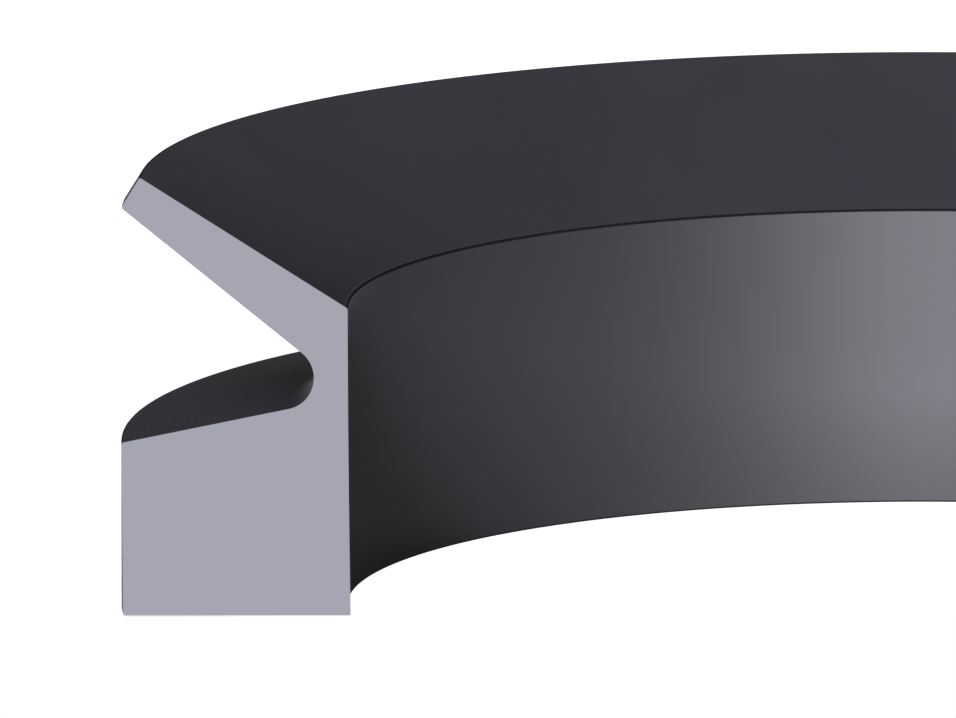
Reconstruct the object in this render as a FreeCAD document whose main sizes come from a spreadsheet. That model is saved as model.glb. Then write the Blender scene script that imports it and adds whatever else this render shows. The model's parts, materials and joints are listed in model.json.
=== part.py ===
import FreeCAD, Part
import math
import os
import Sketcher

# A V-ring is an all-rubber axial seal for a rotating shaft. It is moulded in
# one piece: a rectangular body that grips the shaft, a thin hinge beside the
# bore, and a conical lip that runs against a flat counterface. This is the
# ring as it comes out of its mould, before it is stretched onto a shaft.
#
# Frame: +Z is the shaft's axis and points from the body to the lip. The origin
# is the centre of the flat back face, on the axis.

NODE = "v_ring"

# Each driving size: its name, its value and what it is. Lengths are in
# millimetres and the angle is in degrees.
SIZES = (
    ("bore_diameter", 20.6, "bore of the free ring"),
    ("body_width", 4.0, "from the bore to the body's outer wall"),
    ("body_height", 3.0, "height of the body's outer wall"),
    ("hinge_rise", 1.13, "centre of the hinge groove above that wall's top edge"),
    ("hinge_wall", 0.6, "thinnest rubber, between the groove's root and the bore"),
    ("groove_radius", 0.55, "round root of the hinge groove"),
    ("lip_root", 1.08, "thickness of the lip where it leaves the groove"),
    ("lip_angle", 31.8, "slope of the lip's upper face"),
    ("lip_tip", 0.62, "thickness of the lip at its edge"),
)

# How a sketch numbers the ends of an edge and the centre of an arc. Its own
# horizontal axis is edge -1, which starts at the sketch's origin.
START, END, CENTRE = 1, 2, 3
AXIS = -1


def make_sheet(doc):
    """The spreadsheet that holds the driving sizes."""
    sheet = doc.addObject("Spreadsheet::Sheet", "sizes")
    for row, (alias, value, meaning) in enumerate(SIZES, start=1):
        sheet.set("A%d" % row, alias)
        sheet.set("B%d" % row, str(value))
        sheet.set("C%d" % row, meaning)
        sheet.setAlias("B%d" % row, alias)
    doc.recompute()
    return sheet


def origin_feature(body, role):
    """The plane or axis of the body's own origin that has this role."""
    for feature in body.Origin.OriginFeatures:
        if feature.Role == role:
            return feature
    raise RuntimeError("the body has no " + role)


def line(sketch, first, last):
    """Draws a straight edge between two points, each a radius and a height."""
    ends = [FreeCAD.Vector(radius, height, 0) for radius, height in (first, last)]
    return sketch.addGeometry(Part.LineSegment(*ends))


def half_round(sketch, centre, radius):
    """Draws half a circle that opens outwards, from its top to its foot."""
    middle = FreeCAD.Vector(centre[0], centre[1], 0)
    circle = Part.Circle(middle, FreeCAD.Vector(0, 0, 1), radius)
    return sketch.addGeometry(Part.ArcOfCircle(circle, math.pi / 2, 3 * math.pi / 2))


def fix(sketch, kind, *where):
    """Adds a constraint that has no size of its own."""
    sketch.addConstraint(Sketcher.Constraint(kind, *where))


def bind(sketch, name, expression, kind, *where):
    """Adds a named dimension and ties it to the spreadsheet."""
    value = sketch.evalExpression(expression)
    number = sketch.addConstraint(Sketcher.Constraint(kind, *where, value))
    sketch.renameConstraint(number, name)
    sketch.setExpression("Constraints." + name, expression)


def draw_section(body, sheet):
    """The ring's section, drawn once on a plane that holds the shaft's axis."""
    sketch = body.newObject("Sketcher::SketchObject", "section")
    sketch.AttachmentSupport = (origin_feature(body, "XZ_Plane"), "")
    sketch.MapMode = "FlatFace"

    # The outline is first drawn roughly, with a half circle for the groove's
    # root and no taper in the lip. The constraints then bring it true.
    inner = sheet.bore_diameter / 2
    outer = inner + sheet.body_width
    root_in = inner + sheet.hinge_wall + sheet.groove_radius
    root_up = sheet.body_height + sheet.hinge_rise
    face_up = root_up + sheet.groove_radius + sheet.lip_root
    tip_up = face_up + sheet.body_width * math.tan(math.radians(sheet.lip_angle))

    bore_foot = (inner, 0)
    outer_foot = (outer, 0)
    outer_top = (outer, sheet.body_height)
    groove_low = (root_in, root_up - sheet.groove_radius)
    groove_high = (root_in, root_up + sheet.groove_radius)
    tip_low = (outer, tip_up - sheet.lip_tip)
    tip_high = (outer, tip_up)
    bore_top = (inner, face_up)

    # Eight edges, round the section from the bore's foot.
    back = line(sketch, bore_foot, outer_foot)
    wall = line(sketch, outer_foot, outer_top)
    shoulder = line(sketch, outer_top, groove_low)
    root = half_round(sketch, (root_in, root_up), sheet.groove_radius)
    underside = line(sketch, groove_high, tip_low)
    tip = line(sketch, tip_low, tip_high)
    face = line(sketch, bore_top, tip_high)
    bore = line(sketch, bore_foot, bore_top)

    # Sharp corners, as the mould leaves them.
    fix(sketch, "Coincident", back, START, bore, START)
    fix(sketch, "Coincident", back, END, wall, START)
    fix(sketch, "Coincident", wall, END, shoulder, START)
    fix(sketch, "Coincident", underside, END, tip, START)
    fix(sketch, "Coincident", tip, END, face, END)
    fix(sketch, "Coincident", face, START, bore, END)

    # Both sides of the V run smoothly into the groove's round root.
    fix(sketch, "Tangent", shoulder, END, root, END)
    fix(sketch, "Tangent", underside, START, root, START)

    # The back is flat, at height zero, and both walls stand square on it.
    fix(sketch, "PointOnObject", back, START, AXIS)
    fix(sketch, "Horizontal", back)
    fix(sketch, "Vertical", wall)
    fix(sketch, "Vertical", bore)

    # The lip reaches out exactly as far as the body, and its edge is cut
    # square to its upper face.
    fix(sketch, "Vertical", wall, END, underside, END)
    fix(sketch, "Perpendicular", tip, face)

    # The sizes: first the body, then the groove, then the lip.
    bind(sketch, "bore_radius", "sizes.bore_diameter / 2",
         "DistanceX", AXIS, START, back, START)
    bind(sketch, "width", "sizes.body_width",
         "DistanceX", back, START, back, END)
    bind(sketch, "wall_height", "sizes.body_height",
         "DistanceY", wall, START, wall, END)
    bind(sketch, "root_radius", "sizes.groove_radius",
         "Radius", root)
    bind(sketch, "root_in", "sizes.hinge_wall + sizes.groove_radius",
         "DistanceX", back, START, root, CENTRE)
    bind(sketch, "root_up", "sizes.hinge_rise",
         "DistanceY", wall, END, root, CENTRE)
    bind(sketch, "root_to_face", "sizes.groove_radius + sizes.lip_root",
         "Distance", root, CENTRE, face)
    bind(sketch, "slope", "sizes.lip_angle * 1 deg",
         "Angle", face)
    bind(sketch, "tip_width", "sizes.lip_tip",
         "Distance", tip)
    return sketch


def make_ring(doc, sheet):
    """The moulded ring: its section turned once about the shaft's axis."""
    body = doc.addObject("PartDesign::Body", NODE)
    body.Label = NODE
    body.Placement = FreeCAD.Placement()
    sketch = draw_section(body, sheet)
    doc.recompute()
    turn = body.newObject("PartDesign::Revolution", "ring")
    turn.Profile = sketch
    turn.ReferenceAxis = (sketch, ["V_Axis"])
    turn.Angle = 360
    sketch.Visibility = False
    return body


def check(doc, body):
    """Stops with a message if anything in the document has failed."""
    for item in doc.Objects:
        if "Invalid" in item.State or "Error" in item.State:
            raise RuntimeError(item.Name + " failed")
    shape = body.Shape
    if shape.isNull() or not shape.isValid():
        raise RuntimeError(body.Label + " has no valid shape")
    if len(shape.Solids) != 1:
        raise RuntimeError(body.Label + " is not one solid")


document = FreeCAD.newDocument("axial_shaft_seal")
ring = make_ring(document, make_sheet(document))
document.recompute()
check(document, ring)

os.makedirs("parts", exist_ok=True)
ring.Shape.exportStep("parts/" + ring.Label + ".step")

# What was made, to compare with the real ring.
box = ring.Shape.BoundBox
print("outside diameter %.3f, free height %.3f" % (box.XLength, box.ZLength))
print("volume %.2f cubic millimetres" % ring.Shape.Volume)
for surface in ring.Shape.Faces:
    kind = surface.Surface.TypeId.replace("Part::Geom", "")
    low, high = surface.BoundBox.ZMin, surface.BoundBox.ZMax
    print("%-9s from height %.3f to %.3f" % (kind, low, high))
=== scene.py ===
# %% [markdown]
# # A V-ring, turned from its CAD section
#
# A V-ring is a shaft seal that is all rubber. A square body grips the shaft, a thin hinge runs
# beside the bore, and a cone-shaped lip reaches up and out from the hinge to run on a flat face.
# The ring leaves its mould in one piece, so here it is one piece too. The picture that this scene
# follows is a section view: the near half is cut away and the cut face is filled with a flat grey.
# The ring below stays whole, and only the camera looks past its near half. Lengths are in metres,
# as Blender counts them, and MM stands for a millimetre.

import json
import math

import bmesh
import bpy
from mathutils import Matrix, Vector


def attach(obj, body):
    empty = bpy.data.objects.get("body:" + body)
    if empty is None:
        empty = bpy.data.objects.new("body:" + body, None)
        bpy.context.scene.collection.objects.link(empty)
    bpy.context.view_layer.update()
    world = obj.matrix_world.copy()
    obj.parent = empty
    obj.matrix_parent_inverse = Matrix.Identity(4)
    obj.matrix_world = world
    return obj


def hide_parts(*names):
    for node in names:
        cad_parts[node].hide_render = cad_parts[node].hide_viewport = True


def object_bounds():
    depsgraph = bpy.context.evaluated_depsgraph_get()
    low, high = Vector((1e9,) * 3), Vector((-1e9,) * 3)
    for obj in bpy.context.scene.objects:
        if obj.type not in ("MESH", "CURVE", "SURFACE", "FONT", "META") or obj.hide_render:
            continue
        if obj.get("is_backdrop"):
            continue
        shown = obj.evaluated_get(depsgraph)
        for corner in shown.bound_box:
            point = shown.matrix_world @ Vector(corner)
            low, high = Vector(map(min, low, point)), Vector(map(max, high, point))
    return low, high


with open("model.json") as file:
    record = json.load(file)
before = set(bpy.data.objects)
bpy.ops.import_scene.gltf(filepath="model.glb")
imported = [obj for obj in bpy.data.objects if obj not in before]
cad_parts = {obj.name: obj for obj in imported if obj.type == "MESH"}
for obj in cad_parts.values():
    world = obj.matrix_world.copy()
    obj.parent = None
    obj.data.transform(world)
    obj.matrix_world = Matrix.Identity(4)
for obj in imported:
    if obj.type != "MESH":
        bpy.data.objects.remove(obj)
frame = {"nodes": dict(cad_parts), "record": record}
cad_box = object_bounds()
bpy.ops.object.select_all(action="DESELECT")

MM = 0.001
NODE = "v_ring"

cad_ring = frame["nodes"][NODE]
outer_radius = cad_box[1].x
ring_height = cad_box[1].z
bore = next(m for m in frame["record"]["mounts"] if m["kind"] == "bore")
bore_radius = bore["dims"]["r_mm"] * MM
print("outside %.2f mm, bore %.2f mm, height %.2f mm" % (
    2 * outer_radius / MM, 2 * bore_radius / MM, ring_height / MM))

# %% [markdown]
# ## The section
#
# A turned shape is all in its section. The section could be drawn again corner by corner, but then
# two files would hold the same sizes. It is better to take it from the CAD ring itself: a copy is
# welded, because a CAD mesh is loose triangles, and a bisect keeps nothing but the two places
# where the ring crosses a plane through its axis. One of the two is the section to turn.

# %% Cutting the section out of a copy of the CAD ring
WELD = 0.001 * MM
STRAIGHT = math.radians(1)


def copy_of(source, name):
    """A new object with its own copy of another's mesh, alone selected and active."""
    piece = bpy.data.objects.new(name, source.data.copy())
    piece.data.name = name
    piece.data.materials.clear()
    bpy.context.collection.objects.link(piece)
    piece.select_set(True)
    bpy.context.view_layer.objects.active = piece
    return piece


ring = copy_of(cad_ring, "moulded_v_ring")
bpy.ops.object.mode_set(mode="EDIT")
bpy.ops.mesh.select_all(action="SELECT")
bpy.ops.mesh.remove_doubles(threshold=WELD)
bpy.ops.mesh.bisect(plane_co=(0, 0, 0), plane_no=(0, 1, 0), threshold=WELD,
                    use_fill=True, clear_inner=True, clear_outer=True)

mesh = bmesh.from_edit_mesh(ring.data)
for vertex in mesh.verts:
    vertex.select_set(vertex.co.x < 0)
mesh.select_flush_mode()
bpy.ops.mesh.delete(type="VERT")
bpy.ops.mesh.select_all(action="SELECT")
bpy.ops.mesh.dissolve_limited(angle_limit=STRAIGHT)
mesh = bmesh.from_edit_mesh(ring.data)
print("the section has", len(mesh.verts), "points")

# %% [markdown]
# ## Rounding the corners
#
# No moulded edge is perfectly sharp, and a corner with no width at all never catches the light. A
# bevel on the finished ring would have to find whole circles of edges. On the flat section the
# same rounding is a bevel of a few points, before anything is turned. The hinge groove already has
# its own round root, whose points bend only a little each, so a test on the bend leaves it alone.
# The corners' places are kept, since the material draws a fine line along each of them later.

# %% Bevelling the sharp points of the section
SHARP = math.radians(30)
EDGE_ROUND = 0.03 * MM
ROUND_STEPS = 3


def bend(vertex):
    """How far the outline turns at a point that joins two edges."""
    first, second = [edge.other_vert(vertex).co - vertex.co for edge in vertex.link_edges]
    return math.pi - first.angle(second)


mesh.select_mode = {"VERT"}
corners = []
for vertex in mesh.verts:
    sharp = bend(vertex) > SHARP
    vertex.select_set(sharp)
    if sharp:
        corners.append((vertex.co.x, vertex.co.z))
mesh.select_flush_mode()
bmesh.update_edit_mesh(ring.data)
bpy.ops.mesh.bevel(affect="VERTICES", offset=EDGE_ROUND, segments=ROUND_STEPS, profile=0.5)
print("corners in mm:", [(round(r / MM, 3), round(h / MM, 3)) for r, h in corners])

# %% [markdown]
# ## Turning the ring
#
# The spin tool sweeps the outline round the axis as a lathe would. The flat face that the section
# still carries is deleted first, or it would lie across the inside of the ring. The last step
# lands on the first, and the tool's own merge joins the two. A spin can also leave every face
# turned inwards, so the normals are worked out again at the end.

# %% Spinning the section
STEPS = 360

bpy.ops.mesh.select_all(action="SELECT")
bpy.ops.mesh.delete(type="ONLY_FACE")
bpy.ops.mesh.select_all(action="SELECT")
bpy.ops.mesh.spin(steps=STEPS, angle=2 * math.pi, center=(0, 0, 0), axis=(0, 0, 1),
                  use_auto_merge=True)
bpy.ops.mesh.select_all(action="SELECT")
bpy.ops.mesh.normals_make_consistent(inside=False)
bpy.ops.object.mode_set(mode="OBJECT")
print("turned in", STEPS, "steps into", len(ring.data.polygons), "faces")

# %% [markdown]
# ## Shading
#
# Smooth shading averages the normals where faces meet. Beside a bevel this narrow the average
# would bend the light across the whole wide face. The Weighted Normal modifier lets the wide faces
# decide, so each stays true and only the narrow bevel turns the light. A mesh that is closed has
# no edge with fewer or more than two faces, and its volume can be held against the CAD ring's.

# %% Smoothing with weighted normals, and measuring the result
bpy.ops.object.shade_smooth()
weighted = ring.modifiers.new("weighted", "WEIGHTED_NORMAL")
weighted.keep_sharp = True
bpy.ops.object.modifier_apply(modifier=weighted.name)
ring.select_set(False)

shell = bmesh.new()
shell.from_mesh(ring.data)
open_edges = [edge for edge in shell.edges if not edge.is_manifold]
print("open edges", len(open_edges), "volume %.1f cubic mm" % (shell.calc_volume() / MM ** 3))
shell.free()

# %% [markdown]
# ## Where a point lies on the ring
#
# The same rubber looks different along a corner, in the bore and round the lip, and all of those
# places are circles about the axis. Two lengths name any circle: its radius and its height. The
# first node group works them out from Object coordinates, which stay with the ring wherever it
# goes, and the effects after it build on those two. A group is made once and used many times, so
# a change in one place reaches every use. Nodes could be added and joined one by one, but short
# helpers make a tree read like a sum.

# %% Short helpers that add nodes
def add_node(tree, kind, inputs=(), **settings):
    """A shader node, with each input set to a value or joined to another node's socket."""
    made = tree.nodes.new("ShaderNode" + kind)
    for name, value in settings.items():
        setattr(made, name, value)
    for name, value in dict(inputs).items():
        if isinstance(value, bpy.types.NodeSocket):
            tree.links.new(value, made.inputs[name])
        else:
            made.inputs[name].default_value = value
    return made


def math_node(tree, operation, first, second):
    """One sum on numbers or sockets."""
    return add_node(tree, "Math", {0: first, 1: second}, operation=operation).outputs[0]


def ramp(tree, value, start, end, low, high):
    """A smooth step from one number to another while a value goes from start to end."""
    return add_node(tree, "MapRange", {"Value": value, "From Min": start, "From Max": end,
                                       "To Min": low, "To Max": high},
                    interpolation_type="SMOOTHSTEP").outputs["Result"]


def object_point(tree):
    """The place of the shaded point, in the coordinates of its own object."""
    return add_node(tree, "TexCoord").outputs["Object"]


def length_of(tree, vector):
    """How long a vector is."""
    return add_node(tree, "VectorMath", {0: vector}, operation="LENGTH").outputs["Value"]


# %% [markdown]
# A group has an outside, which is a list of named sockets, and an inside, which is nodes. The two
# helpers below make both ends of it. The inputs come first, because the nodes inside read them,
# and the outputs come last, once the nodes that feed them are there.

# %% Making groups, and the one that gives radius and height
def new_group(name, *inputs):
    """An empty node group with number inputs."""
    group = bpy.data.node_groups.new(name, "ShaderNodeTree")
    for socket in inputs:
        group.interface.new_socket(name=socket, in_out="INPUT", socket_type="NodeSocketFloat")
    return group


def finish_group(group, **outputs):
    """Number outputs for a group, each joined to the socket that works it out."""
    for name in outputs:
        group.interface.new_socket(name=name, in_out="OUTPUT", socket_type="NodeSocketFloat")
    result = group.nodes.new("NodeGroupOutput")
    for name, socket in outputs.items():
        group.links.new(socket, result.inputs[name])
    return group


def ring_place_group():
    """Radius and height of a point on the ring."""
    group = new_group("ring_place")
    parts = add_node(group, "SeparateXYZ", {0: object_point(group)}).outputs
    flat = add_node(group, "CombineXYZ", {"X": parts["X"], "Y": parts["Y"]}).outputs[0]
    return finish_group(group, Radius=length_of(group, flat), Height=parts["Z"])


ring_place = ring_place_group()
print("group", ring_place.name, "gives", [s.name for s in ring_place.interface.items_tree])

# %% [markdown]
# ## Lines along the corners
#
# The picture has a fine dark line along every corner of the ring. Here it is painted shade: a dark
# line, a little rougher than the faces beside it, that hides the highlight each rounded corner
# would catch. At a few hundredths of a millimetre it is a colour rather than a shape. The group
# below measures how far a point is from one circle, so one group serves all the corners.

# %% The group for a fine line along one circle
FULL_DARK = 0.5


def corner_line_group():
    """1 on a circle of this radius and height, falling to 0 at this width from it."""
    group = new_group("corner_line", "Radius", "Height", "Width")
    given = group.nodes.new("NodeGroupInput").outputs
    place = add_node(group, "Group", node_tree=ring_place).outputs
    across = math_node(group, "SUBTRACT", place["Radius"], given["Radius"])
    along = math_node(group, "SUBTRACT", place["Height"], given["Height"])
    offset = add_node(group, "CombineXYZ", {"X": across, "Y": along}).outputs[0]
    middle = math_node(group, "MULTIPLY", given["Width"], FULL_DARK)
    mask = ramp(group, length_of(group, offset), middle, given["Width"], 1.0, 0.0)
    return finish_group(group, Mask=mask)


corner_line = corner_line_group()
print("group", corner_line.name, "for", len(corners), "corners")

# %% [markdown]
# ## Grain, turning marks and bloom
#
# Three faint things keep moulded rubber from looking like paint. The mould is turned on a lathe,
# so its tool marks run round the part. Its surface is also blasted a little, which leaves a fine
# grain. And wax from the rubber comes slowly to the surface as a pale, cloudy bloom. The noise of
# the marks reads only radius and height, which are the same all round, so it comes out as rings.
# Grain and bloom read the point itself and have no direction.

# %% How large marks, grain and bloom are
GRAIN_SIZE = 0.12 * MM
GRAIN_DETAIL = 3.0
MARK_SIZE = 0.09 * MM
MARK_DETAIL = 2.0
BLOOM_SIZE = 5.0 * MM
BLOOM_DETAIL = 4.0
BLOOM_SWIRL = 0.6
BLOOM_FROM = 0.35
BLOOM_FULL = 0.65

print("grain %.2f mm, marks %.2f mm, bloom %.1f mm" % (
    GRAIN_SIZE / MM, MARK_SIZE / MM, BLOOM_SIZE / MM))

# %% A noise of one size, and the three groups that use it
def noise(tree, point, size, detail, swirl=0.0):
    """Noise from 0 to 1, with lumps of this size."""
    return add_node(tree, "TexNoise", {"Vector": point, "Scale": 1 / size, "Detail": detail,
                                       "Distortion": swirl}).outputs[0]


def marks_group():
    """Fine rings left by the lathe tool, as a height from 0 to 1."""
    group = new_group("turning_marks")
    place = add_node(group, "Group", node_tree=ring_place).outputs
    turned = add_node(group, "CombineXYZ", {"X": place["Radius"], "Z": place["Height"]}).outputs[0]
    return finish_group(group, Relief=noise(group, turned, MARK_SIZE, MARK_DETAIL))


def grain_group():
    """Blasted grain without direction, as a height from 0 to 1."""
    group = new_group("mould_grain")
    relief = noise(group, object_point(group), GRAIN_SIZE, GRAIN_DETAIL)
    return finish_group(group, Relief=relief)


def bloom_group():
    """Cloudy patches of wax, as a mask from 0 to 1."""
    group = new_group("wax_bloom")
    cloud = noise(group, object_point(group), BLOOM_SIZE, BLOOM_DETAIL, BLOOM_SWIRL)
    return finish_group(group, Mask=ramp(group, cloud, BLOOM_FROM, BLOOM_FULL, 0.0, 1.0))


turning_marks = marks_group()
mould_grain = grain_group()
wax_bloom = bloom_group()
print("groups", turning_marks.name, mould_grain.name, wax_bloom.name)

# %% [markdown]
# ## The rubber
#
# V-rings are moulded in black nitrile rubber, which is a matt dark grey with a breath of blue. The
# bore is formed by a polished core, so it comes out smoother and blacker than the rest, and the
# picture shows a broad highlight on it and none on the lip. A coat over a darker rubber gives
# that, with a weight of one in the bore and none elsewhere.

# %% The rubber's colours and finishes
RUBBER = (0.052, 0.050, 0.058, 1)
BLOOMED = (0.057, 0.055, 0.063, 1)
# Painted shade: the dark colour of the line along each corner, which hides the bevel's highlight.
PAINTED_CORNER_DARK = (0.012, 0.012, 0.014, 1)
POLISHED = (0.020, 0.019, 0.026, 1)
MATT = 0.60
BLOOM_MATT = 0.66
CORNER_LINE_MATT = 0.9
LINE_WIDTH = 0.04 * MM
RELIEF = 0.006 * MM
SHINE = 0.15
SHINE_TINT = (0.88, 0.88, 1.0, 1)
BORE_EDGE = 0.08 * MM
BORE_MATT = 0.58
BORE_SHINE = 2.45

print("roughness %.2f on the skin, %.2f in the bore, %.2f along the corners" % (
    MATT, BORE_MATT, CORNER_LINE_MATT))

# %% [markdown]
# The material lays its effects over each other as the ring gets them: first the bloom on the skin,
# then the polished bore, and last the painted shade of the dark corner lines, which cross both.
# Each effect is a mask, and the masks mix colours and numbers on their way to one shader.

# %% The masks, and the shader that they feed
def mix_colour(tree, factor, first, second):
    """A blend of two colours. A Mix node keeps its colour sockets at places 6 and 7."""
    return add_node(tree, "Mix", {0: factor, 6: first, 7: second}, data_type="RGBA").outputs[2]


def corner_mask(tree):
    """1 along every corner of the section, 0 on the faces between."""
    lines = 0.0
    for radius, height in corners:
        line = add_node(tree, "Group", {"Radius": radius, "Height": height, "Width": LINE_WIDTH},
                        node_tree=corner_line).outputs["Mask"]
        lines = math_node(tree, "MAXIMUM", line, lines)
    return lines


def rubber_skin(tree):
    """The shader of the moulded rubber: matt, smoother and blacker in the bore."""
    lines = corner_mask(tree)
    place = add_node(tree, "Group", node_tree=ring_place).outputs
    in_bore = ramp(tree, place["Radius"], bore_radius, bore_radius + BORE_EDGE, 1.0, 0.0)
    bloom = add_node(tree, "Group", node_tree=wax_bloom).outputs["Mask"]
    marks = add_node(tree, "Group", node_tree=turning_marks).outputs["Relief"]
    grain = add_node(tree, "Group", node_tree=mould_grain).outputs["Relief"]

    colour = mix_colour(tree, bloom, RUBBER, BLOOMED)
    colour = mix_colour(tree, in_bore, colour, POLISHED)
    # Painted shade: a dark line along each corner covers the highlight the rounded corner would
    # catch.
    colour = mix_colour(tree, lines, colour, PAINTED_CORNER_DARK)
    matt = ramp(tree, bloom, 0.0, 1.0, MATT, BLOOM_MATT)
    matt = ramp(tree, lines, 0.0, 1.0, matt, CORNER_LINE_MATT)
    coat = math_node(tree, "MULTIPLY", in_bore, math_node(tree, "SUBTRACT", 1.0, lines))
    relief = math_node(tree, "ADD", marks, grain)
    bump = add_node(tree, "Bump", {"Height": relief, "Strength": 1.0, "Distance": RELIEF})
    return add_node(tree, "BsdfPrincipled", {
        "Base Color": colour, "Roughness": matt, "Normal": bump.outputs["Normal"],
        "Specular IOR Level": SHINE, "Specular Tint": SHINE_TINT,
        "Coat Weight": coat, "Coat Roughness": BORE_MATT, "Coat IOR": BORE_SHINE})


# %% [markdown]
# ## The cut face
#
# The picture fills its cut face with one flat grey. The ring could be cut in half and closed with
# a grey face, but then it would be half a ring from every other side. A closed shape has its back
# faces all inside, and they come into view only where a camera looks into a cut. So the material
# turns them into a plain light of that grey, and every face that can really be seen stays rubber.

# %% The rubber material, and the ring's place in the frame
CUT_GREY = (0.376, 0.381, 0.440, 1)


def new_material(name):
    """An empty material whose glow isn't counted among the lamps."""
    material = bpy.data.materials.new(name)
    material.use_nodes = True
    material.cycles.emission_sampling = "NONE"
    material.node_tree.nodes.clear()
    return material


rubber = new_material("nitrile_rubber")
tree = rubber.node_tree
skin = rubber_skin(tree)
cut_face = add_node(tree, "Emission", {"Color": CUT_GREY})
seen_from_inside = add_node(tree, "NewGeometry").outputs["Backfacing"]
shown = add_node(tree, "MixShader", {
    0: seen_from_inside, 1: skin.outputs[0], 2: cut_face.outputs[0]})
add_node(tree, "OutputMaterial", {"Surface": shown.outputs[0]})

ring.data.materials.append(rubber)
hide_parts(NODE)
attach(ring, "root")
print("material", rubber.name, "with", len(tree.nodes), "nodes")

# %% [markdown]
# ## The camera
#
# The picture has no perspective and looks down at about ten degrees, so a very long lens from far
# away stands in for it. Its cut goes through the ring's axis. A camera shows nothing nearer than
# its clip start, so the near half drops out of the view when the clip plane meets the axis, and
# the ring itself isn't touched. That plane is square to the line of sight and not upright, which
# moves the cut face by a few pixels at its top and bottom, so the height at which the two planes
# cross is set between them.

# %% The camera at the picture's angle
LENS_MM = 1250
CAMERA_ELEVATION = math.radians(9.91)
CAMERA_DISTANCE = 586.2 * MM
AIM = Vector((-7.998, 0, 4.412)) * MM
CUT_HEIGHT = 5.99 * MM
FAR_CLIP = 3.0

away = Vector((0, math.cos(CAMERA_ELEVATION), -math.sin(CAMERA_ELEVATION)))
camera_data = bpy.data.cameras.new("camera")
camera = bpy.data.objects.new("camera", camera_data)
bpy.context.scene.collection.objects.link(camera)
camera_data.lens = LENS_MM
camera.location = AIM - CAMERA_DISTANCE * away
camera.rotation_euler = (math.pi / 2 - CAMERA_ELEVATION, 0, 0)
camera_data.clip_start = (Vector((0, 0, CUT_HEIGHT)) - camera.location).dot(away)
camera_data.clip_end = FAR_CLIP
bpy.context.scene.camera = camera
print("the view starts %.1f mm from the camera" % (camera_data.clip_start / MM))

# %% [markdown]
# ## The floor
#
# The background is a plain white, and a real floor under soft lamps is white only where it is
# brightly lit. Brighter lamps would wash out the ring, so the floor keeps an ordinary pale colour
# for light and adds a glow of its own that only the camera, reflections and clear things see.
# Round the ring the glow is held back, so that the ring's shadow shows. Under the open middle the
# picture is white too, so there the camera sees the full glow, and the bore, which would mirror
# that patch, sees the floor as the lamps light it. The floor lies a hair below the ring, because
# two faces at one height flicker into each other.

# %% Who sees the white background
def sees_white(tree, mirrored_where):
    """1 for the camera, and for mirrored and clear rays where the mask is 1."""
    ray = add_node(tree, "LightPath").outputs
    mirrored = math_node(tree, "MAXIMUM", ray["Is Glossy Ray"], ray["Is Transmission Ray"])
    mirrored = math_node(tree, "MULTIPLY", mirrored, mirrored_where)
    return math_node(tree, "MAXIMUM", ray["Is Camera Ray"], mirrored)


# %% The pale floor
FLOOR_SIZE = 4.0
FLOOR_DROP = 0.02 * MM
FLOOR_COLOUR = (0.8, 0.8, 0.8, 1)
SHADOW_GLOW = 0.81
SHADOW_REACH = 2.0 * outer_radius
WHITE_FROM = 5.0 * outer_radius


def build_floor(name):
    """A pale matt floor that glows to white, less so in a zone round the ring."""
    material = new_material(name)
    tree = material.node_tree
    radius = length_of(tree, object_point(tree))
    in_hole = ramp(tree, radius, bore_radius, outer_radius, 1.0, 0.0)
    far_away = ramp(tree, radius, SHADOW_REACH, WHITE_FROM, 0.0, 1.0)
    white = math_node(tree, "MAXIMUM", in_hole, far_away)
    glow = ramp(tree, white, 0.0, 1.0, SHADOW_GLOW, 1.0)
    seen = sees_white(tree, math_node(tree, "SUBTRACT", 1.0, in_hole))
    strength = math_node(tree, "MULTIPLY", seen, glow)

    matt = add_node(tree, "BsdfDiffuse", {"Color": FLOOR_COLOUR})
    light = add_node(tree, "Emission", {"Color": (1, 1, 1, 1), "Strength": strength})
    both = add_node(tree, "AddShader", {0: matt.outputs[0], 1: light.outputs[0]})
    add_node(tree, "OutputMaterial", {"Surface": both.outputs[0]})
    return material


bpy.ops.mesh.primitive_plane_add(size=FLOOR_SIZE, location=(0, 0, -FLOOR_DROP))
floor = bpy.context.object
floor.name = "floor"
floor.data.materials.append(build_floor("pale_floor"))
floor.select_set(False)
floor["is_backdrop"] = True
print("floor glow from %.2f beside the ring to 1 beyond %.0f mm" % (
    SHADOW_GLOW, WHITE_FROM / MM))

# %% [markdown]
# ## The world
#
# Past the edge of the floor the view ends in the world, so the world is white where the camera
# looks at it. To everything else it is a dim, even room light, which keeps the shadows soft but
# leaves the ring dark. Reflections see the white too, like the wall of a studio, and above it
# they see the dim room again, since a white ceiling would lay a grey sheen over the lip.

# %% The white backdrop and the room light
ROOM_LEVEL = 0.07
WALL_TOP = math.sin(math.radians(1))
ROOM_FROM = math.sin(math.radians(5))

scene = bpy.context.scene
world = bpy.data.worlds.new("studio")
scene.world = world
world.use_nodes = True
sky = world.node_tree
sky.nodes.clear()
direction = add_node(sky, "TexCoord").outputs["Generated"]
upward = add_node(sky, "SeparateXYZ", {0: direction}).outputs["Z"]
wall = ramp(sky, upward, WALL_TOP, ROOM_FROM, 1.0, 0.0)
strength = ramp(sky, sees_white(sky, wall), 0.0, 1.0, ROOM_LEVEL, 1.0)
backdrop = add_node(sky, "Background", {"Color": (1, 1, 1, 1), "Strength": strength})
add_node(sky, "OutputWorld", {"Surface": backdrop.outputs[0]})
scene.view_settings.view_transform = "Standard"
print("room light", ROOM_LEVEL)

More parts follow.
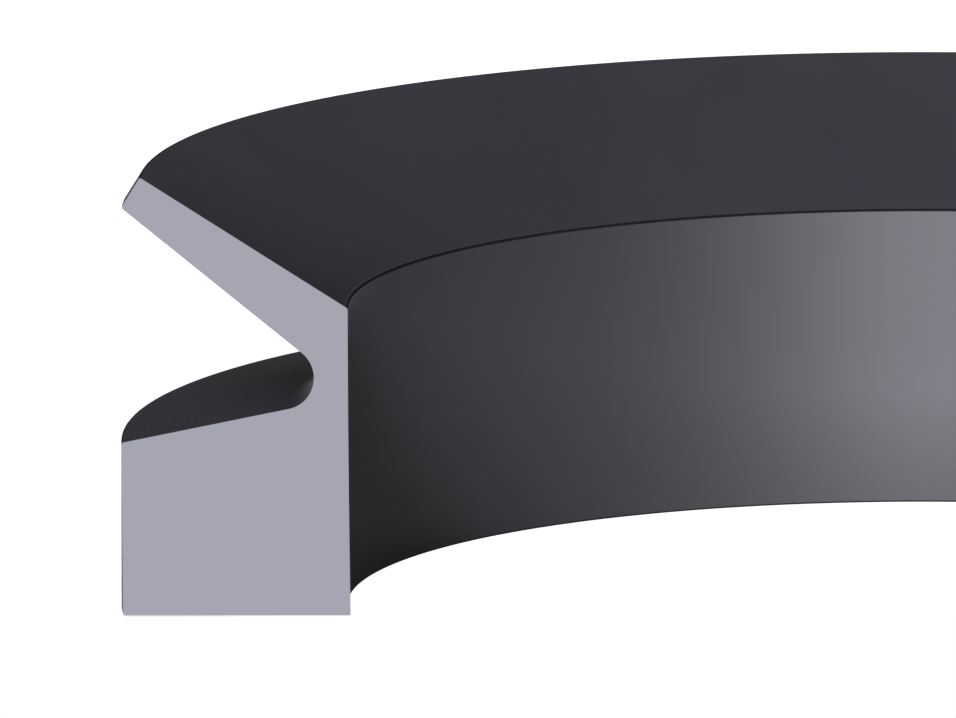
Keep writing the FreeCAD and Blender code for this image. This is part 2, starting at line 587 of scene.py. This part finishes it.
# %% [markdown]
# ## The lamps
#
# The picture is lit from the viewer's side: the bore is brightest straight ahead and falls away
# to the side, and nothing casts a shadow on the lip. One soft key lamp above the camera does that.
# It can't be as low as the camera, because the near half of the ring would then shade the bore.
# Two weak and very low lamps behind, one to each side, give the back of the ring its form.
# Stronger or higher ones would lay a sheen over the body's shoulder and light the left end of the
# bore, which the picture keeps dark.
#
# A lamp's power in watts says little about how bright things get, so each lamp is given by the
# level at which it would light a white surface that faces it. A flat lamp spreads its power over
# pi times the distance squared, and a white surface passes on one part in pi of what falls on it,
# so the power is the level times pi squared times the distance squared. The key's level is near
# one, so that a colour renders about as it is written. The light is a touch cooler than white,
# because the greys of the picture are.

# %% Soft lamps by level
DAYLIGHT = (0.97, 0.97, 1.06)
LAMP_DISTANCE = 0.5


def lamp(name, azimuth, elevation, size, level):
    """A square soft lamp that lights a white surface facing it to this level.

    Azimuth 0 is in front of the ring and 90 is on its right, in degrees.
    """
    data = bpy.data.lights.new(name, "AREA")
    data.shape = "SQUARE"
    data.size = size
    data.energy = level * math.pi ** 2 * LAMP_DISTANCE ** 2
    data.color = DAYLIGHT
    stand = bpy.data.objects.new(name, data)
    scene.collection.objects.link(stand)
    turn, rise = math.radians(azimuth), math.radians(elevation)
    out = Vector((math.sin(turn) * math.cos(rise), -math.cos(turn) * math.cos(rise),
                  math.sin(rise)))
    stand.location = Vector((0, 0, ring_height / 2)) + LAMP_DISTANCE * out
    stand.rotation_euler = out.to_track_quat("Z", "Y").to_euler()


LAMPS = (
    ("key", -5, 20, 0.12, 1.05),
    ("back_left", -120, 6, 0.20, 0.15),
    ("back_right", 130, 3, 0.10, 0.30),
)
for settings in LAMPS:
    lamp(*settings)
print("lamps and their levels:", [(settings[0], settings[-1]) for settings in LAMPS])

# %% [markdown]
# ## Sizes
#
# The box round the new ring should be the CAD ring's box, less only what the rounded corners take
# off. Both boxes are written down so that they can be compared.

# %% Writing both boxes and finishing
made_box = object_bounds()
for label, box in (("CAD", cad_box), ("made", made_box)):
    print(label, "box in mm:", [round(length / MM, 3) for corner in box for length in corner])
